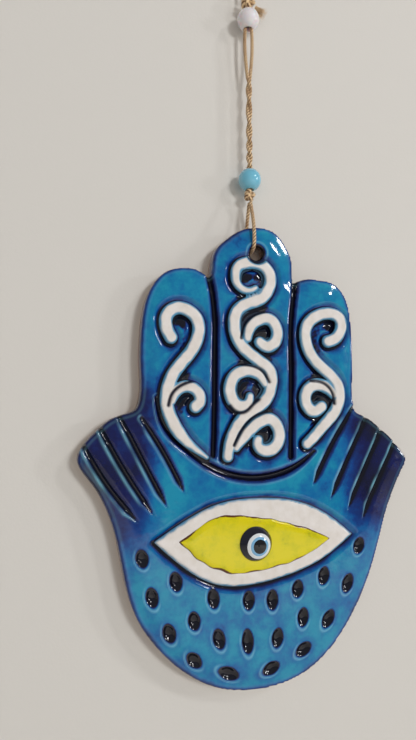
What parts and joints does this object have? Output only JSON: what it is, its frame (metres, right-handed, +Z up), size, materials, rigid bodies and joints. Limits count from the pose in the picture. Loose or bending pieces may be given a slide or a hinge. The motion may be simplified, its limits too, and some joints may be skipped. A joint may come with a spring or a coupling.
{
  "type": "hamsa hand ornament",
  "caption": "Glazed clay hand with an inlaid almond eye and white scrolls, hung on doubled twine with glass beads from a loop for a nail.",
  "frame": {"origin": "where a wall nail carries the hanging loop of twine", "axes": "+Z up, the front of the hand faces -Y, the wall lies towards +Y, +X to the viewer's right"},
  "size_m": [0.1428, 0.015, 0.3202],
  "materials": {
    "hand_glaze": "glossy turquoise glaze that pools dark blue in the grooves",
    "white_clay": "satin white glaze",
    "iris_colour": "glossy yellow-green glaze",
    "glue": "clear set glue",
    "eye_dark_glass": "polished near-black glass",
    "eye_white_glass": "polished white glass",
    "eye_pale_blue_glass": "polished pale blue glass",
    "milky_bead_glass": "milky translucent glass",
    "turquoise_bead_glass": "opaque turquoise glass",
    "jute": "rough natural fibre"
  },
  "bodies": {
    "hanger": {"nail_loop": "jute", "top_knot": "jute"},
    "cord": {"strand_left": "jute", "strand_right": "jute", "frayed_tail": "jute"},
    "bead_white": {"white_bead": "milky_bead_glass"},
    "bead_turquoise": {"turquoise_bead": "turquoise_bead_glass"},
    "lower_knot": {"lower_knot": "jute"},
    "lower_loop": {"lower_loop": "jute"},
    "plaque": {"hand_plaque": "hand_glaze", "scroll_left": "white_clay", "scroll_middle": "white_clay", "scroll_right": "white_clay", "eye_slab": "white_clay", "iris_glaze": "iris_colour", "glue_pad": "glue", "glass_eye_body": "eye_dark_glass", "glass_eye_white_ring": "eye_white_glass", "glass_eye_pale_ring": "eye_pale_blue_glass", "glass_eye_pupil": "eye_dark_glass"}
  },
  "joints": [
    {"name": "cord_swing", "type": "hinge", "parent": "hanger", "child": "cord", "pos_m": [0, 0, -0.0224], "axis": [0, 1, 0], "range_deg": [-25, 25]},
    {"name": "white_bead_slide", "type": "slide", "parent": "cord", "child": "bead_white", "axis": [0, 0, 1], "range_m": [-0.032, 0]},
    {"name": "turquoise_bead_slide", "type": "slide", "parent": "cord", "child": "bead_turquoise", "axis": [0, 0, 1], "range_m": [0, 0.032]},
    {"name": "cord_twist", "type": "hinge", "parent": "cord", "child": "lower_knot", "pos_m": [0, 0, -0.1142], "axis": [0, 0, 1], "range_deg": [-60, 60], "stiffness_Nm_per_rad": 0.0005},
    {"name": "hand_lift", "type": "hinge", "parent": "lower_knot", "child": "lower_loop", "pos_m": [0, 0, -0.1142], "axis": [-1, 0, 0], "range_deg": [0, 45]},
    {"name": "plaque_rock", "type": "hinge", "parent": "lower_loop", "child": "plaque", "pos_m": [0, 0, -0.1402], "axis": [0, 1, 0], "range_deg": [-20, 20]}
  ]
}
